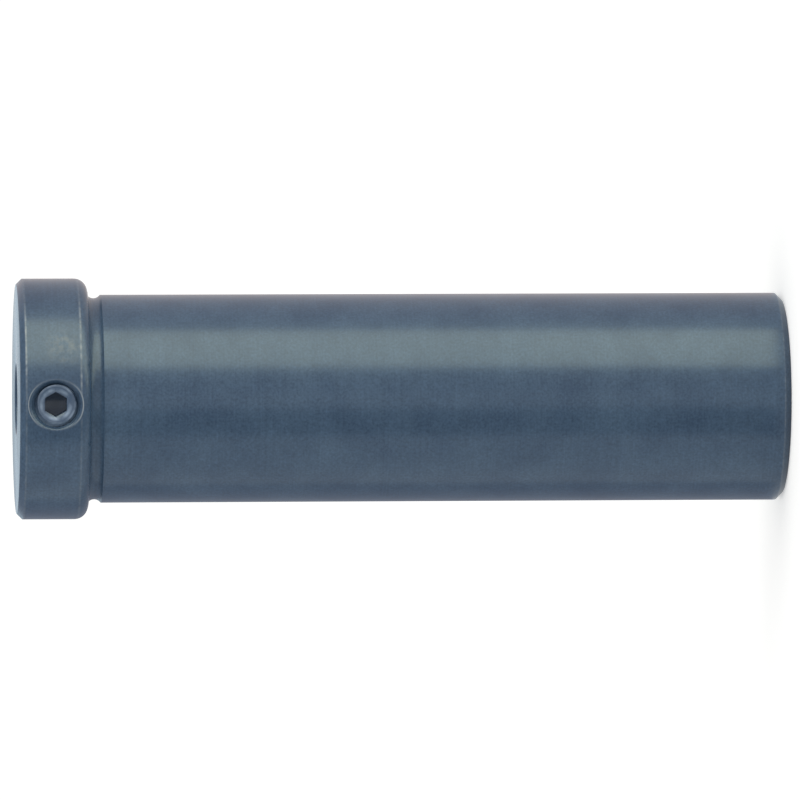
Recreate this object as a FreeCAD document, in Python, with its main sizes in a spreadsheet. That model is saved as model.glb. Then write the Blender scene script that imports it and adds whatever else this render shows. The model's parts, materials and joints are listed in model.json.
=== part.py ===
import FreeCAD, Part

import math
import os

import Sketcher

# An adapter sleeve for small boring bars. Its hardened and ground shank goes into a larger tool
# block, and the shank of a smaller bar goes into its bore. The head stops the sleeve at the face
# of the block, and carries the socket set screw that clamps the bar.
# The sleeve stands on the end of its shank. Z runs up the bore to the head, and the set screw
# comes in from the front, along Y. All sizes are in millimetres.

DIMENSIONS = {
    # the turned sleeve
    "shank_diameter": 19.05,
    "shank_length": 63.9,
    "shank_end_chamfer": 0.6,
    "shoulder_width": 1.5,
    "head_length": 6.5,
    "head_front_chamfer": 0.52,
    "head_back_radius": 1.2,
    "relief_width": 1.2,
    "relief_depth": 0.31,
    "bore_diameter": 6.35,
    "bore_chamfer": 0.15,
    # the screw hole in the head, which leaves room for the thread
    "hole_from_front_face": 3.25,
    "thread_clearance": 0.12,
    "countersink_depth": 0.29,
    # the socket set screw
    "screw_diameter": 4.166,
    "screw_length": 6.35,
    "screw_below_surface": 0.8,
    "screw_top_chamfer": 0.3,
    "cup_diameter": 2.2,
    "cup_depth": 0.65,
    "socket_across_flats": 1.984,
    "socket_depth": 2.3,
    "socket_drill_point": 0.5,
    "socket_mouth_margin": 0.2,
    "socket_mouth_cone": 0.78,
    # how far a cut runs on past the surface that it opens
    "overcut": 1.0,
}

SHANK_RADIUS = "dims.shank_diameter / 2"
HEAD_RADIUS = "(dims.shank_diameter / 2 + dims.shoulder_width)"
FRONT_FACE = "(dims.shank_length + dims.head_length)"
RELIEF_RADIUS = "(dims.relief_width ^ 2 / (8 * dims.relief_depth) + dims.relief_depth / 2)"
HOLE_RADIUS = "(dims.screw_diameter / 2 + dims.thread_clearance)"
HOLE_HEIGHT = "(dims.shank_length + dims.head_length - dims.hole_from_front_face)"
SCREW_RADIUS = "dims.screw_diameter / 2"
SCREW_POINT = f"({HEAD_RADIUS} - dims.screw_below_surface - dims.screw_length)"


def add_dimension_sheet(doc):
    sheet = doc.addObject("Spreadsheet::Sheet", "dims")
    for row, (name, value) in enumerate(DIMENSIONS.items(), start=1):
        sheet.set(f"A{row}", name)
        sheet.set(f"B{row}", str(value))
        sheet.setAlias(f"B{row}", name)
    doc.recompute()


def new_body(doc, label):
    body = doc.addObject("PartDesign::Body", label)
    body.Label = label
    return body


def new_sketch(body, name, plane_role):
    plane = next(f for f in body.Origin.OriginFeatures if f.Role == plane_role)
    sketch = body.newObject("Sketcher::SketchObject", name)
    sketch.AttachmentSupport = [(plane, "")]
    sketch.MapMode = "FlatFace"
    return sketch


def add_dimension(sketch, name, expression, kind, *where):
    """Adds a constraint that takes its value from the expression."""
    value = sketch.evalExpression(expression)
    number = sketch.addConstraint(Sketcher.Constraint(kind, *where, value))
    sketch.renameConstraint(number, name)
    sketch.setExpression(f"Constraints.{name}", expression)


def place_start(sketch, side, name, kind, expression):
    """Holds the start of a side across or up from the origin, or on the axis if that is zero."""
    if expression == "0":
        axis = -2 if kind == "DistanceX" else -1
        sketch.addConstraint(Sketcher.Constraint("PointOnObject", side, 1, axis))
    else:
        add_dimension(sketch, name, expression, kind, -1, 1, side, 1)


def arc_between(start, end, radius):
    """The shorter arc that turns counterclockwise from start to end."""
    chord = end - start
    to_left = FreeCAD.Vector(-chord.y, chord.x, 0).normalize()
    centre = (start + end) * 0.5 + to_left * math.sqrt(radius ** 2 - (chord.Length / 2) ** 2)
    angles = [math.atan2(point.y - centre.y, point.x - centre.x) for point in (start, end)]
    return Part.ArcOfCircle(Part.Circle(centre, FreeCAD.Vector(0, 0, 1), radius), *angles)


def draw_outline(sketch, corners):
    """Joins the corners, pairs of expressions across and up, into a closed outline.

    A third expression is the radius of an arc that leads from its corner to the next one."""
    points = [FreeCAD.Vector(*map(sketch.evalExpression, corner[:2]), 0) for corner in corners]
    sides = []
    for corner, start, end in zip(corners, points, points[1:] + points[:1]):
        if len(corner) == 3:
            side = arc_between(start, end, sketch.evalExpression(corner[2]))
        else:
            side = Part.LineSegment(start, end)
        sides.append(sketch.addGeometry(side))
    for side, following in zip(sides, sides[1:] + sides[:1]):
        sketch.addConstraint(Sketcher.Constraint("Coincident", side, 2, following, 1))

    for n, (side, corner) in enumerate(zip(sides, corners)):
        before = corners[n - 1] if n > 0 and len(corners[n - 1]) == 2 else (None, None)
        if corner[0] == before[0]:
            sketch.addConstraint(Sketcher.Constraint("Vertical", sides[n - 1]))
        else:
            place_start(sketch, side, f"corner{n}_across", "DistanceX", corner[0])
        if corner[1] == before[1]:
            sketch.addConstraint(Sketcher.Constraint("Horizontal", sides[n - 1]))
        else:
            place_start(sketch, side, f"corner{n}_up", "DistanceY", corner[1])
        if len(corner) == 3:
            add_dimension(sketch, f"corner{n}_arc", corner[2], "Radius", side)


def draw_circle(sketch, radius, guide=False):
    value = sketch.evalExpression(radius)
    circle = Part.Circle(FreeCAD.Vector(0, 0, 0), FreeCAD.Vector(0, 0, 1), value)
    number = sketch.addGeometry(circle, guide)
    sketch.addConstraint(Sketcher.Constraint("Coincident", number, 3, -1, 1))
    add_dimension(sketch, "circle_radius", radius, "Radius", number)
    return number


def draw_hexagon(sketch, across_flats):
    """Draws a hexagon round the origin, with two of its corners on the sketch's first axis."""
    guide = draw_circle(sketch, f"{across_flats} / sqrt(3)", guide=True)
    radius = sketch.evalExpression(across_flats) / math.sqrt(3)
    turns = [math.radians(60 * n) for n in range(6)]
    corners = [FreeCAD.Vector(math.cos(turn), math.sin(turn), 0) * radius for turn in turns]
    sides = []
    for start, end in zip(corners, corners[1:] + corners[:1]):
        sides.append(sketch.addGeometry(Part.LineSegment(start, end)))
    for side, following in zip(sides, sides[1:] + sides[:1]):
        sketch.addConstraint(Sketcher.Constraint("Coincident", side, 2, following, 1))
        sketch.addConstraint(Sketcher.Constraint("PointOnObject", side, 1, guide))
    for side in sides[1:]:
        sketch.addConstraint(Sketcher.Constraint("Equal", sides[0], side))
    sketch.addConstraint(Sketcher.Constraint("PointOnObject", sides[0], 1, -1))


def turn_solid(body, name, corners):
    """Turns a half outline, of radius and height, about the body's Z axis."""
    sketch = new_sketch(body, f"{name}_outline", "XZ_Plane")
    draw_outline(sketch, corners)
    solid = body.newObject("PartDesign::Revolution", name)
    solid.Profile = sketch
    solid.ReferenceAxis = (sketch, ["V_Axis"])
    body.Document.recompute()


def check_cut(cut, volume_before):
    """Recomputes, and makes sure that the cut has taken material away."""
    cut.Document.recompute()
    if cut.Shape.Volume > volume_before - 1e-3:
        raise RuntimeError(f"{cut.Name} takes nothing away")


def turn_cut(body, name, corners):
    """Cuts what a half outline sweeps about the body's Z axis."""
    volume = body.Shape.Volume
    sketch = new_sketch(body, f"{name}_outline", "XZ_Plane")
    draw_outline(sketch, corners)
    cut = body.newObject("PartDesign::Groove", name)
    cut.Profile = sketch
    cut.ReferenceAxis = (sketch, ["V_Axis"])
    check_cut(cut, volume)


def bevel_edges(body, kind, name, size, radii_and_heights):
    """Rounds or chamfers the circular edges that have these radii and heights."""
    feature = body.Tip
    wanted = [tuple(map(feature.evalExpression, pair)) for pair in radii_and_heights]
    edges = []
    for number, edge in enumerate(feature.Shape.Edges, start=1):
        if not isinstance(edge.Curve, Part.Circle):
            continue
        found = (edge.Curve.Radius, edge.Curve.Center.z)
        if any(math.dist(found, pair) < 1e-4 for pair in wanted):
            edges.append(f"Edge{number}")
    if len(edges) != len(wanted):
        raise RuntimeError(f"{name} needs {len(wanted)} edges and finds {len(edges)}")

    volume = body.Shape.Volume
    bevel = body.newObject(f"PartDesign::{kind}", name)
    bevel.Base = (feature, edges)
    bevel.setExpression("Radius" if kind == "Fillet" else "Size", size)
    check_cut(bevel, volume)


def build_sleeve(doc):
    body = new_body(doc, "sleeve")
    turn_solid(body, "turned_bar", [
        ("0", "0"),
        ("0", FRONT_FACE),
        (HEAD_RADIUS, FRONT_FACE),
        (HEAD_RADIUS, "dims.shank_length"),
        (SHANK_RADIUS, "dims.shank_length", RELIEF_RADIUS),
        (SHANK_RADIUS, "dims.shank_length - dims.relief_width"),
        (SHANK_RADIUS, "0"),
    ])

    volume = body.Shape.Volume
    sketch = new_sketch(body, "bore_outline", "XY_Plane")
    draw_circle(sketch, "dims.bore_diameter / 2")
    bore = body.newObject("PartDesign::Pocket", "bore")
    bore.Profile = sketch
    bore.Type = "ThroughAll"
    bore.Reversed = True
    check_cut(bore, volume)

    bevel_edges(body, "Fillet", "head_back_round", "dims.head_back_radius",
                [(HEAD_RADIUS, "dims.shank_length")])
    bevel_edges(body, "Chamfer", "head_front_bevel", "dims.head_front_chamfer",
                [(HEAD_RADIUS, FRONT_FACE)])
    bevel_edges(body, "Chamfer", "shank_end_bevel", "dims.shank_end_chamfer",
                [(SHANK_RADIUS, "0")])
    bevel_edges(body, "Chamfer", "bore_bevels", "dims.bore_chamfer",
                [("dims.bore_diameter / 2", "0"), ("dims.bore_diameter / 2", FRONT_FACE)])
    cut_screw_hole(body)
    return body


def cut_screw_hole(body):
    """Drills and countersinks the hole for the set screw, through the front wall only."""
    volume = body.Shape.Volume
    sketch = new_sketch(body, "screw_hole_outline", "YZ_Plane")
    inside = "-dims.bore_diameter / 4"
    outside = f"-({HEAD_RADIUS} + dims.overcut)"
    sink_end = f"-({HEAD_RADIUS} - dims.countersink_depth)"
    sink_rim = f"{HOLE_HEIGHT} + {HOLE_RADIUS} + dims.countersink_depth + dims.overcut"
    draw_outline(sketch, [
        (inside, HOLE_HEIGHT),
        (inside, f"{HOLE_HEIGHT} + {HOLE_RADIUS}"),
        (sink_end, f"{HOLE_HEIGHT} + {HOLE_RADIUS}"),
        (outside, sink_rim),
        (outside, HOLE_HEIGHT),
    ])
    hole = body.newObject("PartDesign::Groove", "screw_hole")
    hole.Profile = sketch
    # the last side of the outline is the axis of the hole
    hole.ReferenceAxis = (sketch, ["Edge5"])
    check_cut(hole, volume)


def build_set_screw(doc):
    """Builds the screw upright on its cup point, then lays it in its hole."""
    body = new_body(doc, "set_screw")
    cup_radius = "dims.cup_diameter / 2"
    screw_end = "dims.screw_length"
    turn_solid(body, "turned_screw", [
        ("0", "dims.cup_depth"),
        ("0", screw_end),
        (f"{SCREW_RADIUS} - dims.screw_top_chamfer", screw_end),
        (SCREW_RADIUS, "dims.screw_length - dims.screw_top_chamfer"),
        (SCREW_RADIUS, f"{SCREW_RADIUS} - {cup_radius}"),
        (cup_radius, "0"),
    ])

    volume = body.Shape.Volume
    sketch = new_sketch(body, "socket_outline", "XY_Plane")
    sketch.setExpression("AttachmentOffset.Base.z", screw_end)
    draw_hexagon(sketch, "dims.socket_across_flats")
    socket = body.newObject("PartDesign::Pocket", "socket")
    socket.Profile = sketch
    socket.setExpression("Length", "dims.socket_depth")
    check_cut(socket, volume)

    turn_cut(body, "socket_mouth", [
        ("0", "dims.screw_length - dims.socket_mouth_cone"),
        ("0", screw_end),
        ("dims.socket_across_flats / sqrt(3) + dims.socket_mouth_margin", screw_end),
    ])
    turn_cut(body, "socket_bottom", [
        ("0", "dims.screw_length - dims.socket_depth - dims.socket_drill_point"),
        ("0", "dims.screw_length - dims.socket_depth"),
        ("dims.socket_across_flats / 2", "dims.screw_length - dims.socket_depth"),
    ])

    body.Placement = FreeCAD.Placement(FreeCAD.Vector(0, 0, 0),
                                       FreeCAD.Rotation(FreeCAD.Vector(1, 0, 0), 90))
    body.setExpression("Placement.Base.y", f"-{SCREW_POINT}")
    body.setExpression("Placement.Base.z", HOLE_HEIGHT)
    doc.recompute()
    return body


def check_and_export(doc, body):
    for feature in doc.Objects:
        if "Invalid" in feature.State or "Error" in feature.State:
            raise RuntimeError(f"{feature.Name} has not computed")
        if feature.isDerivedFrom("Sketcher::SketchObject") and not feature.FullyConstrained:
            raise RuntimeError(f"{feature.Name} is not fully constrained")
    if body.Shape.isNull() or not body.Shape.isValid() or len(body.Shape.Solids) != 1:
        raise RuntimeError(f"{body.Label} is not one valid solid")
    body.Shape.exportStep(f"parts/{body.Label}.step")
    box = body.Shape.optimalBoundingBox(False, False)
    size = " x ".join(f"{length:.2f}" for length in (box.XLength, box.YLength, box.ZLength))
    print(f"{body.Label}: {size} mm, {body.Shape.Volume:.1f} cubic mm")


doc = FreeCAD.newDocument("adapter_sleeve")
add_dimension_sheet(doc)
os.makedirs("parts", exist_ok=True)
for finished in (build_sleeve(doc), build_set_screw(doc)):
    check_and_export(doc, finished)
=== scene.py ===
import json
import math

import bmesh
import bpy
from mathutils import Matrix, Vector


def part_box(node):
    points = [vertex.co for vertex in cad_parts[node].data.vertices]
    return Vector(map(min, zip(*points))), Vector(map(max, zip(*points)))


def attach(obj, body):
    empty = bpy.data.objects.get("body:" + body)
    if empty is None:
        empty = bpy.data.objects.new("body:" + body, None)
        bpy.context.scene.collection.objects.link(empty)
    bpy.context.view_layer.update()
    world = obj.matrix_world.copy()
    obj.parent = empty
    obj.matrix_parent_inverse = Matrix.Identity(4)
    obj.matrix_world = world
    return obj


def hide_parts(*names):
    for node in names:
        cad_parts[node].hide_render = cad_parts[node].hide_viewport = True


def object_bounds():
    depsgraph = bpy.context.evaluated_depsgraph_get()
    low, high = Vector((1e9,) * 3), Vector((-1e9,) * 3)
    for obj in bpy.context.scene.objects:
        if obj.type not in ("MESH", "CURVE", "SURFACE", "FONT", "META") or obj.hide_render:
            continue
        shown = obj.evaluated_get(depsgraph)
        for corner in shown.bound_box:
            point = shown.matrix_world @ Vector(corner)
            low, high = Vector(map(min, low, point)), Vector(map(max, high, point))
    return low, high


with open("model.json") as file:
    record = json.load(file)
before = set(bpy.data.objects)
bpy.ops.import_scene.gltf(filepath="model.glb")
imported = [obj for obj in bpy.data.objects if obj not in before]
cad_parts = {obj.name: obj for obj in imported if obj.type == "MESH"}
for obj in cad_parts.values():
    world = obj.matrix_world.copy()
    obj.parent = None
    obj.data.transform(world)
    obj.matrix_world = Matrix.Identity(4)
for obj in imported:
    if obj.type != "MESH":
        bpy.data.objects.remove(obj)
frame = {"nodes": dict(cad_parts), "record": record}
cadLow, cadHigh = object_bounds()
print("frame loaded:", ", ".join(sorted(frame["nodes"])))

# All shapes below are in millimetres, in the frame's own axes: the sleeve stands on its shank, Z runs
# up its bore, and the set screw looks out along -Y.
mm = 0.001
mounts = {mount["name"]: mount for mount in frame["record"]["mounts"]}
headFace = cadHigh[2] / mm
headRadius = cadHigh[0] / mm
shoulder = mounts["shoulder"]["pos_m"][2] / mm
shankRadius = mounts["shank"]["dims"]["r_mm"]
boreRadius = mounts["bore"]["dims"]["r_mm"]
screwLow, screwHigh = (Vector(corner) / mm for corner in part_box("set_screw"))
screwRadius = (screwHigh.x - screwLow.x) / 2
screwHeight = (screwHigh.z + screwLow.z) / 2
screwTop = -screwLow.y      # how far the ends of the screw are from the axis of the bore
screwPoint = -screwHigh.y


def hexToLinear(hexColour):
    # an sRGB hex colour as the linear one that the nodes want
    parts = [int(hexColour[i:i + 2], 16) / 255 for i in (1, 3, 5)]
    return tuple(p / 12.92 if p <= 0.04045 else ((p + 0.055) / 1.055) ** 2.4 for p in parts) + (1.0,)


def addNode(tree, kind, values=None, links=None, **settings):
    # one node with its settings, its fixed socket values and the outputs that feed it
    node = tree.nodes.new(kind)
    for name, value in settings.items():
        setattr(node, name, value)
    for socket, value in (values or {}).items():
        node.inputs[socket].default_value = value
    for socket, source in (links or {}).items():
        tree.links.new(source, node.inputs[socket])
    return node


def newMaterial(name):
    material = bpy.data.materials.new(name)
    material.use_nodes = True
    material.node_tree.nodes.clear()
    return material, material.node_tree


# Camera: a long lens, level with the object but lying on its side, so that the head is at the left.
cameraSetup = {
    "lens": 439.5,
    "distance": 894.3,      # from the axis of the sleeve
    "beyondHead": 32.1,     # how far up past the head's face it stands
    "azimuth": 2.87,        # degrees round from the set screw
    "tilt": 4.307,          # degrees that it looks down, towards the shank
    "roll": 0.221,
    "drop": 0.223,          # moves the sleeve up in the picture
}


def makeCamera(setup):
    turn = math.radians(setup["azimuth"])
    tilt = math.radians(setup["tilt"])
    roll = math.radians(setup["roll"])
    outward = Vector((math.sin(turn), -math.cos(turn), 0))
    sideways = Vector((math.cos(turn), math.sin(turn), 0))
    forward = -outward * math.cos(tilt) - Vector((0, 0, math.sin(tilt)))
    right = forward.cross(sideways).normalized()
    up = sideways * math.cos(roll) + right * math.sin(roll)
    right = forward.cross(up).normalized()
    data = bpy.data.cameras.new("camera")
    data.lens = setup["lens"]
    data.clip_start = 0.05
    data.clip_end = 20
    camera = bpy.data.objects.new("camera", data)
    bpy.context.scene.collection.objects.link(camera)
    turned = camera.matrix_world.to_3x3()
    turned.col[0] = right
    turned.col[1] = up
    turned.col[2] = -forward
    camera.matrix_world = turned.to_4x4()
    height = Vector((0, 0, headFace + setup["beyondHead"]))
    camera.location = (outward * setup["distance"] + height - up * setup["drop"]) * mm
    bpy.context.scene.camera = camera


makeCamera(cameraSetup)
bpy.context.scene.view_settings.view_transform = "Standard"

# Floor: matt white paper, which the camera and the steel see as white.
floorSetup = {"reach": 6.0, "paper": "#e4e4e2", "seenGlow": 0.4}


def makeFloor(setup):
    material, tree = newMaterial("mattWhitePaper")
    path = addNode(tree, "ShaderNodeLightPath")
    seen = addNode(tree, "ShaderNodeMath", operation="MAXIMUM",
                   links={0: path.outputs["Is Camera Ray"], 1: path.outputs["Is Glossy Ray"]})
    seen = addNode(tree, "ShaderNodeMath", operation="MAXIMUM",
                   links={0: seen.outputs[0], 1: path.outputs["Is Transmission Ray"]})
    level = addNode(tree, "ShaderNodeMath", {1: setup["seenGlow"]}, {0: seen.outputs[0]},
                    operation="MULTIPLY")
    paper = addNode(tree, "ShaderNodeBsdfDiffuse", {"Color": hexToLinear(setup["paper"])})
    glow = addNode(tree, "ShaderNodeEmission", {"Color": (1, 1, 1, 1)}, {"Strength": level.outputs[0]})
    both = addNode(tree, "ShaderNodeAddShader", links={0: paper.outputs[0], 1: glow.outputs[0]})
    addNode(tree, "ShaderNodeOutputMaterial", links={"Surface": both.outputs[0]})
    reach = setup["reach"]
    mesh = bpy.data.meshes.new("floor")
    mesh.from_pydata([(-reach, -reach, 0), (reach, -reach, 0), (reach, reach, 0), (-reach, reach, 0)],
                     [], [(0, 1, 2, 3)])
    mesh.materials.append(material)
    floor = bpy.data.objects.new("floor", mesh)
    bpy.context.scene.collection.objects.link(floor)


makeFloor(floorSetup)

# Light: a pale room, one soft lamp, and cards that only the steel's sheen sees. Each card stands round the
# sleeve between two azimuths, from the set screw towards +X, and runs in over the floor to its foot.
roomSetup = {"room": 0.85, "seen": 1.0}
lampSetup = {"azimuth": 62, "distance": 700, "height": 280, "size": (660, 560), "brightness": 1.2}
cardSetup = {
    "softBox": {"from": 37, "to": 84, "brightness": (4.6, 4.8, 3.6)},
    "upperWall": {"from": 100, "to": 178, "brightness": (0.85, 0.75, 0.72)},
    "frontWall": {"from": 9, "to": 36, "brightness": (0.7, 0.65, 0.65)},
    "frontFlag": {"from": -40, "to": -9, "brightness": (0.15, 0.15, 0.15)},
    "lowerFlag": {"from": -178, "to": -108, "brightness": (0.35, 0.35, 0.4)},
    # seen in the head's face alone, so it starts above the head
    "faceWall": {"from": 176, "to": 204, "brightness": (0.64, 0.76, 0.85), "near": 640, "far": 650,
                 "above": 84},
}
cardPlace = {"near": 3, "far": 700, "tall": 700, "above": 0.5, "steps": 12}
roofSetup = {"height": 720, "reach": 560, "brightness": (0.25, 0.25, 0.27)}


def makeRoom(setup):
    world = bpy.data.worlds.new("room")
    bpy.context.scene.world = world
    world.use_nodes = True
    tree = world.node_tree
    tree.nodes.clear()
    path = addNode(tree, "ShaderNodeLightPath")
    seen = addNode(tree, "ShaderNodeMath", operation="MAXIMUM",
                   links={0: path.outputs["Is Camera Ray"], 1: path.outputs["Is Glossy Ray"]})
    seen = addNode(tree, "ShaderNodeMath", operation="MAXIMUM",
                   links={0: seen.outputs[0], 1: path.outputs["Is Transmission Ray"]})
    level = addNode(tree, "ShaderNodeMapRange", {"To Min": setup["room"], "To Max": setup["seen"]},
                    {"Value": seen.outputs[0]})
    light = addNode(tree, "ShaderNodeBackground", {"Color": (1, 1, 1, 1)}, {"Strength": level.outputs[0]})
    addNode(tree, "ShaderNodeOutputWorld", links={"Surface": light.outputs[0]})


def makeLamp(name, setup):
    data = bpy.data.lights.new(name, "AREA")
    data.shape = "RECTANGLE"
    data.size, data.size_y = (side * mm for side in setup["size"])
    data.energy = setup["brightness"] * math.pi * data.size * data.size_y
    lamp = bpy.data.objects.new(name, data)
    turn = math.radians(setup["azimuth"])
    outward = Vector((math.sin(turn), -math.cos(turn), 0))
    lamp.location = (outward * setup["distance"] + Vector((0, 0, setup["height"]))) * mm
    middle = Vector((0, 0, headFace / 2)) * mm
    lamp.rotation_euler = (middle - lamp.location).to_track_quat("-Z", "Y").to_euler()
    bpy.context.scene.collection.objects.link(lamp)


def cardPoints(setup):
    # an arc of wall and its strip of floor. Its edges start where the shank mirrors them to the camera.
    points = []
    faces = []
    for n in range(setup["steps"] + 1):
        turn = math.radians(setup["from"] + (setup["to"] - setup["from"]) * n / setup["steps"])
        for away, height in (("near", "above"), ("far", "above"), ("far", "tall")):
            x = shankRadius * math.sin(turn / 2) + setup[away] * math.sin(turn)
            y = -shankRadius * math.cos(turn / 2) - setup[away] * math.cos(turn)
            points.append(Vector((x, y, setup[height])) * mm)
        if n > 0:
            k = 3 * n
            faces += [(k - 3, k - 2, k + 1, k), (k - 2, k - 1, k + 2, k + 1)]
    return points, faces


def makeCard(name, brightness, points, faces):
    material, tree = newMaterial(name + "Paper")
    glow = addNode(tree, "ShaderNodeEmission", {"Color": (*brightness, 1)})
    addNode(tree, "ShaderNodeOutputMaterial", links={"Surface": glow.outputs[0]})
    mesh = bpy.data.meshes.new(name)
    mesh.from_pydata(points, [], faces)
    mesh.materials.append(material)
    card = bpy.data.objects.new(name, mesh)
    card.visible_camera = False
    card.visible_diffuse = False
    card.visible_shadow = False
    bpy.context.scene.collection.objects.link(card)


makeRoom(roomSetup)
makeLamp("softLamp", lampSetup)
for name, setup in cardSetup.items():
    makeCard(name, setup["brightness"], *cardPoints({**cardPlace, **setup}))
roofCorners = ((-1, -1), (1, -1), (1, 1), (-1, 1))
roofPoints = [Vector((x * roofSetup["reach"], y * roofSetup["reach"], roofSetup["height"])) * mm
              for x, y in roofCorners]
makeCard("roofFlag", roofSetup["brightness"], roofPoints, [(0, 1, 2, 3)])
print("camera, floor and lights made")


class MeshBuilder:
    # collects points in millimetres and faces, and joins the points that fall together
    def __init__(self):
        self.bm = bmesh.new()
        self.wearAndHighlight = self.bm.verts.layers.float.new("wearAndHighlight")

    def point(self, place, wearAndHighlight=0.0):
        vert = self.bm.verts.new(Vector(place) * mm)
        vert[self.wearAndHighlight] = wearAndHighlight
        return vert

    def face(self, *corners):
        self.bm.faces.new(corners)

    def strip(self, first, second, closed=True):
        # faces between two rows of as many points
        count = len(first)
        for n in range(count if closed else count - 1):
            m = (n + 1) % count
            self.face(first[n], first[m], second[m], second[n])

    def fan(self, row, tip):
        for n in range(len(row)):
            self.face(row[n], row[(n + 1) % len(row)], tip)

    def finish(self, name, material, sharpAngle=35):
        bmesh.ops.remove_doubles(self.bm, verts=self.bm.verts, dist=0.0004 * mm)    # joins the seams
        bmesh.ops.dissolve_degenerate(self.bm, edges=self.bm.edges, dist=0.0002 * mm)
        bmesh.ops.recalc_face_normals(self.bm, faces=self.bm.faces)
        openEdges = [edge for edge in self.bm.edges if len(edge.link_faces) != 2]
        print(name, "has", len(self.bm.faces), "faces and", len(openEdges), "open edges")
        mesh = bpy.data.meshes.new(name)
        self.bm.to_mesh(mesh)
        self.bm.free()
        mesh.polygons.foreach_set("use_smooth", [True] * len(mesh.polygons))
        mesh.set_sharp_from_angle(angle=math.radians(sharpAngle))
        mesh.materials.append(material)
        piece = bpy.data.objects.new(name, mesh)
        bpy.context.scene.collection.objects.link(piece)
        return piece


def roundBore(radius, turn, height):
    # a point at an angle round the bore's axis from the set screw
    return (radius * math.sin(turn), -radius * math.cos(turn), height)


def roundScrew(radius, turn, out):
    # a point round the set screw's axis, so far out from the bore's axis
    return (radius * math.cos(turn), -out, screwHeight + radius * math.sin(turn))


def roundCorner(before, corner, after, radius, steps):
    # the points of an arc that rounds a corner of an outline
    toBefore = (before - corner).normalized()
    toAfter = (after - corner).normalized()
    half = math.acos(toBefore.dot(toAfter)) / 2
    centre = corner + (toBefore + toAfter).normalized() * radius / math.sin(half)
    start = corner + toBefore * radius / math.tan(half) - centre
    end = corner + toAfter * radius / math.tan(half) - centre
    sweep = math.pi - 2 * half
    points = []
    for n in range(steps + 1):
        share = n / steps
        bent = start * math.sin((1 - share) * sweep) + end * math.sin(share * sweep)
        points.append(centre + bent / math.sin(sweep))
    return points


# The set screw's thread, number 8-32 and right-handed. The thread in the sleeve has the same form, moved
# out by the clearance that the hole leaves.
threadShape = {
    "pitch": 25.4 / 32,
    "flankAngle": 60,
    "crestFlat": 0.125,     # shares of the pitch
    "rootFlat": 0.25,
    "flankSteps": 3,
    "clearance": 0.12,
    "around": 96,
}


def threadDepth(out, turn):
    # how far the thread's surface lies under its crest
    shape = threadShape
    share = out / shape["pitch"] - turn / (2 * math.pi)
    fromCrest = abs((share + 0.5) % 1 - 0.5) - shape["crestFlat"] / 2
    flank = 0.5 - (shape["crestFlat"] + shape["rootFlat"]) / 2
    return min(max(fromCrest, 0), flank) * shape["pitch"] * math.tan(math.radians(shape["flankAngle"]))


def threadLine(turn, low, high, radiusAt):
    # the points along the thread's wall at one angle. What lies past its ends falls on them.
    shape = threadShape
    start = shape["crestFlat"] / 2
    flank = 0.5 - shape["rootFlat"] / 2 - start
    up = [start + flank * n / shape["flankSteps"] for n in range(shape["flankSteps"] + 1)]
    shares = up + [1 - share for share in reversed(up)]
    points = []
    for n in range(-1, math.ceil(headRadius / shape["pitch"]) + 1):
        for share in shares:
            out = min(max((n + share + turn / (2 * math.pi)) * shape["pitch"], low), high)
            points.append(roundScrew(radiusAt(out, turn), turn, out))
    return points


def threadWall(builder, lowAt, high, radiusAt):
    # the whole wall of a thread, which ends in two closed rows: at the low end and at the high one
    columns = []
    for n in range(threadShape["around"] + 1):
        turn = 2 * math.pi * n / threadShape["around"]
        places = threadLine(turn, lowAt(turn), high, radiusAt)
        columns.append([builder.point(place) for place in places])
    for first, second in zip(columns, columns[1:]):
        builder.strip(first, second, closed=False)
    return [column[0] for column in columns[:-1]], [column[-1] for column in columns[:-1]]


sleeveShape = {
    "around": 192,
    "boreAround": 96,
    "frontBevel": 0.52,
    "backRound": 1.2,
    "backSteps": 8,
    "bandSteps": 16,
    "endBevel": 0.6,
    "boreBevel": 0.15,
    "reliefWidth": 1.2,
    "reliefDepth": 0.31,
    "reliefSteps": 12,
    "edgeRound": 0.07,
    "edgeSteps": 3,
    "sinkDepth": 0.29,
    "threadStart": 0.75,    # how deep under the head's surface the thread runs out
    "rimRound": 0.05,
    "rimWear": 0.1,         # rim wear of the countersink all round, and the painted highlight that its two ends along the bore add
    "rimEndHighlight": 0.6,
    "patchReach": 12,       # how many sides of the outside the hole's patch spans each way
    "patchSteps": 8,
    "borePatchReach": 13,
    "borePatchHeight": 2.9,
    "borePatchSteps": 4,
}


def outlineCorners(corners, shape):
    # each inner corner of an outline, rounded as a worn edge
    points = [Vector(corner) for corner in corners]
    return [roundCorner(before, corner, after, shape["edgeRound"], shape["edgeSteps"])
            for before, corner, after in zip(points, points[1:], points[2:])]


def patchLoop(rows, outline, around, reach, low, high):
    # the border of a patch, once round it from its +X side over its top, with each point's angle and height
    middle = (low + high) // 2
    up = 1 if outline[high].y > outline[low].y else -1
    places = [(reach, n) for n in range(middle, high)]
    places += [(k, high) for k in range(reach, -reach, -1)]
    places += [(-reach, n) for n in range(high, low, -1)]
    places += [(k, low) for k in range(-reach, reach)]
    places += [(reach, n) for n in range(low, middle)]
    if up < 0:
        places = [(k, low + high - n) for k, n in places]
    border = [rows[n][k % around] for k, n in places]
    return border, [(2 * math.pi * k / around, outline[n].y) for k, n in places]


def fillPatch(builder, ring, ringShares, border, borderShares, radiusAt, steps):
    # rows of faces between a hole's rim and the border of its patch, all on the turned surface
    last = ring
    for step in range(1, steps):
        share = (step / steps) ** 1.4       # the rows are closer together near the hole
        row = []
        for near, far in zip(ringShares, borderShares):
            turn, height = (a + (b - a) * share for a, b in zip(near, far))
            row.append(builder.point(roundBore(radiusAt(height), turn, height)))
        builder.strip(last, row)
        last = row
    builder.strip(last, border)


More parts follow.
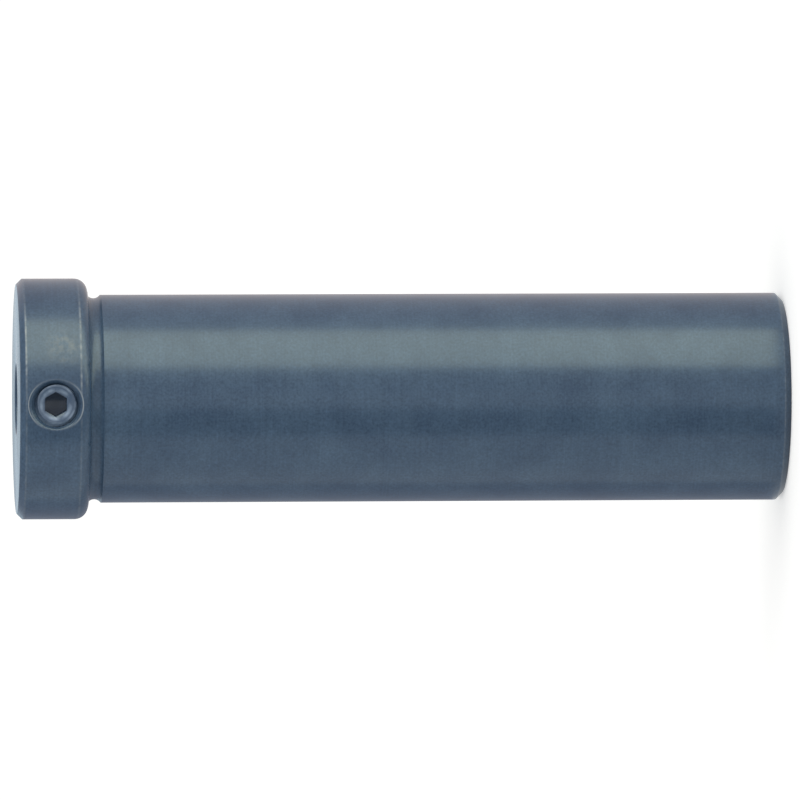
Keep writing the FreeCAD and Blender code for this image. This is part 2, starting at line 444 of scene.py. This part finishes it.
def turnedRows(builder, outline, around, reach, low, high):
    # rings of points along an outline and the faces between them, apart from one patch
    rows = []
    for place in outline:
        turns = [2 * math.pi * n / around for n in range(around)]
        rows.append([builder.point(roundBore(place.x, turn, place.y)) for turn in turns])
    for n, (row, following) in enumerate(zip(rows, rows[1:])):
        if low <= n < high:
            span = range(reach, around - reach + 1)
            builder.strip([row[k % around] for k in span], [following[k % around] for k in span],
                          closed=False)
        else:
            builder.strip(row, following)
    return rows


def makeSleeve(shape, material):
    builder = MeshBuilder()
    bevel, end, front = shape["boreBevel"], shape["endBevel"], shape["frontBevel"]
    boreFoot, footInner, footOuter, shankStart = outlineCorners([
        (boreRadius, shoulder), (boreRadius, bevel), (boreRadius + bevel, 0),
        (shankRadius - end, 0), (shankRadius, end), (shankRadius, shoulder)], shape)
    bandEnd, faceOuter, faceInner, boreMouth = outlineCorners([
        (headRadius, shoulder), (headRadius, headFace - front), (headRadius - front, headFace),
        (boreRadius + bevel, headFace), (boreRadius, headFace - bevel), (boreRadius, shoulder)], shape)

    # the relief groove, a shallow arc that ends at the shoulder
    half = shape["reliefWidth"] / 2
    reliefRadius = half ** 2 / (2 * shape["reliefDepth"]) + shape["reliefDepth"] / 2
    widest = math.asin(half / reliefRadius)
    relief = []
    for n in range(shape["reliefSteps"] + 1):
        turn = widest * (2 * n / shape["reliefSteps"] - 1)
        relief.append(Vector((shankRadius + reliefRadius * (math.cos(widest) - math.cos(turn)),
                              shoulder - half + reliefRadius * math.sin(turn))))

    # the rounded back of the head and its straight band
    backRadius = shape["backRound"]
    turns = [math.pi / 2 * n / shape["backSteps"] for n in range(shape["backSteps"] + 1)]
    back = [Vector((headRadius - backRadius + backRadius * math.sin(turn),
                    shoulder + backRadius - backRadius * math.cos(turn))) for turn in turns]
    bandLow, bandHigh = back[-1].y, bandEnd[0].y
    steps = shape["bandSteps"]
    shares = [0.5 - 0.5 * math.cos(math.pi * n / steps) for n in range(1, steps)]
    band = [Vector((headRadius, bandLow + (bandHigh - bandLow) * share)) for share in shares]

    def headSurface(height):
        under = max(0.0, bandLow - height)
        return headRadius - backRadius + math.sqrt(max(0.0, backRadius ** 2 - under ** 2))

    below = footOuter + shankStart + relief
    outside = below + back + band + bandEnd + faceOuter
    patchLow = len(below)
    patchHigh = patchLow + len(back + band)
    around, reach = shape["around"], shape["patchReach"]
    rows = turnedRows(builder, outside, around, reach, patchLow, patchHigh)

    # the bore, from its mouth down to its foot
    boreAround, boreReach = shape["boreAround"], shape["borePatchReach"]
    steps = threadShape["around"] // 2 - 2 * boreReach
    tall = shape["borePatchHeight"]
    wall = [Vector((boreRadius, screwHeight + tall - 2 * tall * n / steps)) for n in range(steps + 1)]
    inside = faceInner + boreMouth + wall + boreFoot + footInner
    boreHigh = len(faceInner + boreMouth)
    boreLow = boreHigh + steps
    boreRows = turnedRows(builder, inside, boreAround, boreReach, boreHigh, boreLow)

    # the two flat ends, from the fine outer rings to the coarser ones of the bore
    for outer, inner in ((rows[-1], boreRows[0]), (rows[0], boreRows[-1])):
        for k in range(boreAround):
            near, far = inner[k], inner[(k + 1) % boreAround]
            first, second, third = outer[2 * k], outer[2 * k + 1], outer[(2 * k + 2) % around]
            builder.face(near, first, second)
            builder.face(near, second, far)
            builder.face(far, second, third)

    # the countersink and its rim, where its cone meets the outside of the head
    holeTurns = [2 * math.pi * n / threadShape["around"] for n in range(threadShape["around"])]
    holeRadius = screwRadius + threadShape["clearance"]
    sinkEnd = headRadius - shape["sinkDepth"]

    def outAt(radius, turn):
        surface = headSurface(screwHeight + radius * math.sin(turn))
        return math.sqrt(surface ** 2 - (radius * math.cos(turn)) ** 2)

    def coneRadius(out):
        return holeRadius + out - sinkEnd

    def rimRadius(turn):
        low, high = holeRadius, 2 * holeRadius
        for _ in range(40):
            middle = (low + high) / 2
            if coneRadius(outAt(middle, turn)) > middle:
                low = middle
            else:
                high = middle
        return low

    def surfaceShare(radius, turn):
        height = screwHeight + radius * math.sin(turn)
        return math.asin(radius * math.cos(turn) / headSurface(height)), height

    soft = shape["rimRound"]
    rims = [rimRadius(turn) for turn in holeTurns]
    ringShares = [surfaceShare(rim + soft, turn) for rim, turn in zip(rims, holeTurns)]
    # the rim's wear all round, plus a painted highlight at its two ends along the bore
    rubbed = [shape["rimWear"] + shape["rimEndHighlight"] * math.sin(turn) ** 4 for turn in holeTurns]
    ring = [builder.point(roundBore(headSurface(height), turn, height), wearAndHighlight)
            for (turn, height), wearAndHighlight in zip(ringShares, rubbed)]
    border, borderShares = patchLoop(rows, outside, around, reach, patchLow, patchHigh)
    fillPatch(builder, ring, ringShares, border, borderShares, headSurface, shape["patchSteps"])
    rimMiddle = [builder.point(roundScrew(rim + soft * 0.2, turn, outAt(rim, turn) - soft * 0.35), wearAndHighlight)
                 for rim, turn, wearAndHighlight in zip(rims, holeTurns, rubbed)]
    rimInner = [builder.point(roundScrew(rim - soft * 0.7, turn, outAt(rim, turn) - soft * 0.7))
                for rim, turn in zip(rims, holeTurns)]
    coneEnd = [builder.point(roundScrew(holeRadius, turn, sinkEnd)) for turn in holeTurns]
    builder.strip(ring, rimMiddle)
    builder.strip(rimMiddle, rimInner)
    builder.strip(rimInner, coneEnd)

    # the thread, which ends where the hole opens into the bore
    def nutRadius(out, turn):
        runOut = holeRadius + out - (headRadius - shape["threadStart"])
        return min(holeRadius, max(holeRadius - threadDepth(out, turn), runOut))

    def boreWallAt(turn):
        low = boreRadius
        for _ in range(20):
            low = math.sqrt(boreRadius ** 2 - (nutRadius(low, turn) * math.cos(turn)) ** 2)
        return low

    ring, _ = threadWall(builder, boreWallAt, sinkEnd, nutRadius)
    ringShares = [(math.atan2(vert.co.x, -vert.co.y), vert.co.z / mm) for vert in ring]
    border, borderShares = patchLoop(boreRows, inside, boreAround, boreReach, boreHigh, boreLow)
    fillPatch(builder, ring, ringShares, border, borderShares, lambda height: boreRadius,
              shape["borePatchSteps"])
    return builder.finish("sleeveBody", material)


screwShape = {
    "topBevel": 0.3,
    "cupRadius": 1.1,
    "cupDepth": 0.65,
    "acrossFlats": 1.984,
    "socketDepth": 2.3,
    "drillPoint": 0.5,
    "mouthMargin": 0.2,
    "mouthCone": 0.78,
    "mouthHighlightRadius": 1.3,     # radius of the painted highlight ring round the socket's mouth
}


def makeSetScrew(shape, material):
    builder = MeshBuilder()

    def outerRadius(out, turn):
        top = screwRadius - shape["topBevel"] + screwTop - out
        point = shape["cupRadius"] + out - screwPoint
        return min(screwRadius - threadDepth(out, turn), top, point)

    pointRow, topRow = threadWall(builder, lambda turn: screwPoint, screwTop, outerRadius)

    flat = shape["acrossFlats"] / 2
    corner = math.radians(60)
    mouth = flat / math.cos(corner / 2) + shape["mouthMargin"]
    bottom = screwTop - shape["socketDepth"]

    # in over the top's flat ring, down the cone of the socket's mouth and along the six flats
    rows = [topRow, [], [], [], []]
    for n in range(threadShape["around"]):
        turn = 2 * math.pi * n / threadShape["around"]
        hexRadius = flat / math.cos(turn % corner - corner / 2)
        coneOut = screwTop - shape["mouthCone"] * (1 - hexRadius / mouth)
        rows[1].append(builder.point(roundScrew(mouth, turn, screwTop)))
        rows[2].append(builder.point(roundScrew(hexRadius, turn, coneOut)))
        rows[3].append(builder.point(roundScrew(hexRadius, turn, bottom)))
        rows[4].append(builder.point(roundScrew(flat * 0.999, turn, bottom)))
    for first, second in zip(rows, rows[1:]):
        builder.strip(first, second)
    builder.fan(rows[-1], builder.point(roundScrew(0, 0, bottom - shape["drillPoint"])))
    builder.fan(pointRow, builder.point(roundScrew(0, 0, screwPoint + shape["cupDepth"])))
    return builder.finish("setScrewBody", material)


# Blue-black oxide on hardened, ground steel: a thin conversion layer of iron oxide. It gives the eye a
# It gives the eye a deep blue body with a soft grey sheen that turning and grinding marks spread along the
# axis, faint cloudy patches from the hot bath, and paler steel where the edges have rubbed through, which
# also paints highlights on them.
oxideSetup = {
    "deep": "#3a4f66",
    "pale": "#465c72",
    # pale steel of the rubbed edges, which also serves as their painted highlight
    "bareSteelAndHighlight": "#a9b0b2",
    "scuff": "#8b8c84",
    "cloud": 4.0,           # millimetres across one cloudy patch
    "speckle": 0.22,        # one grain of the etched surface
    "blotch": 0.6,          # one spot of a scuff, and one stretch of an edge's wear and painted highlight
    "turningLine": 0.16,    # between turning marks, coarser than the real 0.05 so that they show
    "lineDepth": 0.08,      # how much the turning marks darken or lighten the colour
    "lineChange": 0.06,     # how fast one turning mark changes on its way round
    "grainDepth": 0.25,     # how much the grain darkens or lightens the colour
    "grainHeight": 0.01,    # and how high it stands
    "roughness": 0.30,
    "axisAt": (0, 0, 0),    # a point on the axis that the piece was turned about
    "scuffPlace": (5.2, -9.7, 66.4),
    "scuffReach": 2.2,
    "scuffStrength": 0.3,
    "paintedHighlightReach": 6.5,         # how far round the scuff the edges carry a stronger painted highlight, where the lamp's sheen falls
    "wornAndHighlightReach": 0.16,      # how far the bare steel and painted highlight run from a rubbed edge
    "leastWearAndHighlight": 0.3,     # what stays of the wear and painted highlight between its strongest stretches
}
# each rubbed edge by its radius, its place along the axis and how strongly it is rubbed through and carries
# a painted highlight. The two edges of the head's band get this just beside their corners, where the lamp's
# sheen falls.
oxideSetup["wornAndHighlitEdges"] = [
    (headRadius, headFace - sleeveShape["frontBevel"] - 0.05, 0.6),
    (headRadius - sleeveShape["frontBevel"], headFace, 0.4),
    (headRadius - 0.03, shoulder + sleeveShape["backRound"] - 0.25, 0.55),
    (shankRadius, sleeveShape["endBevel"], 0.7),
    (shankRadius - sleeveShape["endBevel"], 0, 0.5),
]


def mixColour(tree, share, first, second):
    # a colour mix that takes each of its three inputs as a value or as another node's output
    mix = addNode(tree, "ShaderNodeMix", data_type="RGBA")
    for socket, source in ((0, share), (6, first), (7, second)):
        if isinstance(source, (float, tuple)):
            mix.inputs[socket].default_value = source
        else:
            tree.links.new(source, mix.inputs[socket])
    return mix.outputs[2]


def oxideSteel(name, setup, lineAxis):
    # lineAxis is the axis that the piece was turned about
    steel, tree = newMaterial(name)
    place = addNode(tree, "ShaderNodeTexCoord").outputs["Object"]
    inMillimetres = addNode(tree, "ShaderNodeVectorMath", {1: (1000, 1000, 1000)}, {0: place},
                            operation="MULTIPLY").outputs[0]

    # the end faces are ground finer than the round sides
    facing = addNode(tree, "ShaderNodeTexCoord").outputs["Normal"]
    facing = addNode(tree, "ShaderNodeSeparateXYZ", links={0: facing}).outputs[lineAxis]
    facing = addNode(tree, "ShaderNodeMath", links={0: facing}, operation="ABSOLUTE").outputs[0]
    smooth = addNode(tree, "ShaderNodeMapRange", {"From Min": 0.8, "From Max": 0.98, "To Max": 0.95},
                     {"Value": facing}).outputs[0]

    # cloudy patches, fine grain, and turning marks that run round the piece
    cloud = addNode(tree, "ShaderNodeTexNoise", {
        "Scale": 1 / setup["cloud"], "Detail": 4.0, "Roughness": 0.6},
        {"Vector": inMillimetres}).outputs["Fac"]
    blotch = addNode(tree, "ShaderNodeTexNoise", {"Scale": 1 / setup["blotch"], "Detail": 3.0},
                     {"Vector": inMillimetres}).outputs["Fac"]
    speckle = addNode(tree, "ShaderNodeTexNoise", {"Scale": 1 / setup["speckle"], "Detail": 2.0},
                      {"Vector": inMillimetres}).outputs["Fac"]
    grain = addNode(tree, "ShaderNodeMix", {3: 0.5}, {0: smooth, 2: speckle}).outputs[0]
    fromAxis = addNode(tree, "ShaderNodeVectorMath", {1: setup["axisAt"]}, {0: inMillimetres},
                       operation="SUBTRACT").outputs[0]
    flattened = addNode(tree, "ShaderNodeVectorMath", {1: (1, 1, 0) if lineAxis == "Z" else (1, 0, 1)},
                        {0: fromAxis}, operation="MULTIPLY").outputs[0]
    outward = addNode(tree, "ShaderNodeVectorMath", links={0: flattened},
                      operation="LENGTH").outputs["Value"]
    along = addNode(tree, "ShaderNodeSeparateXYZ", links={0: inMillimetres}).outputs[lineAxis]
    onOutline = addNode(tree, "ShaderNodeCombineXYZ", links={0: outward, 1: along}).outputs[0]
    roundLines = addNode(tree, "ShaderNodeVectorMath", {1: (setup["lineChange"],) * 3}, {0: flattened},
                         operation="MULTIPLY").outputs[0]
    lineScale = 1 / setup["turningLine"]
    acrossLines = addNode(tree, "ShaderNodeVectorMath", {1: (lineScale, lineScale, 0)}, {0: onOutline},
                          operation="MULTIPLY").outputs[0]
    linePlace = addNode(tree, "ShaderNodeVectorMath", links={0: acrossLines, 1: roundLines}).outputs[0]
    lines = addNode(tree, "ShaderNodeTexNoise", {"Scale": 1.0, "Detail": 3.0},
                    {"Vector": linePlace}).outputs["Fac"]

    body = addNode(tree, "ShaderNodeMapRange", {"From Min": 0.3, "From Max": 0.7},
                   {"Value": cloud}).outputs[0]
    colour = mixColour(tree, body, hexToLinear(setup["deep"]), hexToLinear(setup["pale"]))
    shade = addNode(tree, "ShaderNodeMapRange", {
        "From Min": 0.2, "From Max": 0.8,
        "To Min": 1 - setup["grainDepth"], "To Max": 1 + setup["grainDepth"]}, {"Value": grain}).outputs[0]
    lineShade = addNode(tree, "ShaderNodeMapRange", {
        "From Min": 0.25, "From Max": 0.75,
        "To Min": 1 - setup["lineDepth"], "To Max": 1 + setup["lineDepth"]}, {"Value": lines}).outputs[0]
    shade = addNode(tree, "ShaderNodeMath", links={0: shade, 1: lineShade},
                    operation="MULTIPLY").outputs[0]
    colour = addNode(tree, "ShaderNodeVectorMath", links={0: colour, 1: shade},
                     operation="MULTIPLY").outputs[0]

    # rubbed edges with painted highlights on them, broken up in soft stretches, and a warm scuff on the head
    away = addNode(tree, "ShaderNodeVectorMath", {1: setup["scuffPlace"]}, {0: inMillimetres},
                   operation="DISTANCE").outputs["Value"]
    wornAndHighlight = None
    for radius, height, strength in setup["wornAndHighlitEdges"]:
        fromEdge = addNode(tree, "ShaderNodeVectorMath", {1: (radius, height, 0)}, {0: onOutline},
                           operation="DISTANCE").outputs["Value"]
        near = addNode(tree, "ShaderNodeMapRange", {
            "From Min": setup["wornAndHighlightReach"], "From Max": 0.0, "To Max": strength}, {"Value": fromEdge},
            interpolation_type="SMOOTHSTEP").outputs[0]
        if wornAndHighlight is not None:
            near = addNode(tree, "ShaderNodeMath", links={0: wornAndHighlight, 1: near},
                           operation="MAXIMUM").outputs[0]
        wornAndHighlight = near
    patchy = addNode(tree, "ShaderNodeMapRange", {
        "From Min": 0.35, "From Max": 0.62, "To Min": setup["leastWearAndHighlight"]}, {"Value": blotch}).outputs[0]
    # painted highlight: the pale edges are strongest round the lit spot near the scuff
    paintedHighlightReach = addNode(tree, "ShaderNodeMapRange", {
        "From Min": setup["paintedHighlightReach"], "From Max": 0.5 * setup["paintedHighlightReach"], "To Min": 0.25},
        {"Value": away}, interpolation_type="SMOOTHSTEP").outputs[0]
    wornAndHighlight = addNode(tree, "ShaderNodeMath", links={0: wornAndHighlight, 1: patchy}, operation="MULTIPLY").outputs[0]
    wornAndHighlight = addNode(tree, "ShaderNodeMath", links={0: wornAndHighlight, 1: paintedHighlightReach}, operation="MULTIPLY").outputs[0]
    # the rim's wear and its painted highlight, carried by the mesh
    rim = addNode(tree, "ShaderNodeAttribute", attribute_name="wearAndHighlight").outputs["Fac"]
    wornAndHighlight = addNode(tree, "ShaderNodeMath", links={0: wornAndHighlight, 1: rim}, operation="MAXIMUM").outputs[0]
    # the edges turn pale: partly bare steel, partly a painted highlight
    colour = mixColour(tree, wornAndHighlight, colour, hexToLinear(setup["bareSteelAndHighlight"]))
    near = addNode(tree, "ShaderNodeMapRange", {
        "From Min": setup["scuffReach"], "From Max": 0.4, "To Max": setup["scuffStrength"]}, {"Value": away},
        interpolation_type="SMOOTHSTEP").outputs[0]
    rubbed = addNode(tree, "ShaderNodeMapRange", {"From Min": 0.42, "From Max": 0.66},
                     {"Value": blotch}).outputs[0]
    scuffed = addNode(tree, "ShaderNodeMath", links={0: near, 1: rubbed}, operation="MULTIPLY").outputs[0]
    colour = mixColour(tree, scuffed, colour, hexToLinear(setup["scuff"]))

    roughness = addNode(tree, "ShaderNodeMapRange", {
        "To Min": setup["roughness"] - 0.04, "To Max": setup["roughness"] + 0.06},
        {"Value": grain}).outputs[0]
    finer = addNode(tree, "ShaderNodeMapRange", {"To Min": 1.0, "To Max": 0.5},
                    {"Value": smooth}).outputs[0]
    roughness = addNode(tree, "ShaderNodeMath", links={0: roughness, 1: finer},
                        operation="MULTIPLY").outputs[0]
    bump = addNode(tree, "ShaderNodeBump", {"Strength": 0.25, "Distance": setup["grainHeight"] * mm},
                   {"Height": grain}).outputs[0]
    tangent = addNode(tree, "ShaderNodeTangent", direction_type="RADIAL", axis=lineAxis).outputs[0]
    shader = addNode(tree, "ShaderNodeBsdfPrincipled", {
        "Metallic": 0.0, "IOR": 1.38, "Anisotropic": 0.6, "Anisotropic Rotation": 0.25},
        {"Base Color": colour, "Roughness": roughness, "Normal": bump, "Tangent": tangent})
    addNode(tree, "ShaderNodeOutputMaterial", links={"Surface": shader.outputs[0]})
    return steel


sleeve = makeSleeve(sleeveShape, oxideSteel("blueBlackOxideSteel", oxideSetup, "Z"))
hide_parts("sleeve")
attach(sleeve, "sleeve")
screwSetup = {
    **oxideSetup,
    "deep": "#485a70",
    "pale": "#586b82",
    # bluish pale colour for the painted glints on the screw's top
    "bareSteelAndHighlight": "#9caec2",
    "roughness": 0.26,
    "turningLine": 0.12,
    "axisAt": (0, 0, screwHeight),
    "paintedHighlightReach": 40,
    "leastWearAndHighlight": 0.0,
    "blotch": 1.3,
    "wornAndHighlightReach": 0.3,
    # pale rings on the screw's top: painted glints on its bevel and round the socket's mouth, and painted
    # light on the bevel
    "wornAndHighlitEdges": [
        (screwRadius - screwShape["topBevel"], -screwTop, 0.7),
        (screwShape["mouthHighlightRadius"], -screwTop, 0.9),
        (screwRadius - 0.1, 0.2 - screwTop, 0.6),
    ],
}
screw = makeSetScrew(screwShape, oxideSteel("blackOxideScrewSteel", screwSetup, "Y"))
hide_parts("set_screw")
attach(screw, "set_screw")
print("sleeve and set screw made")
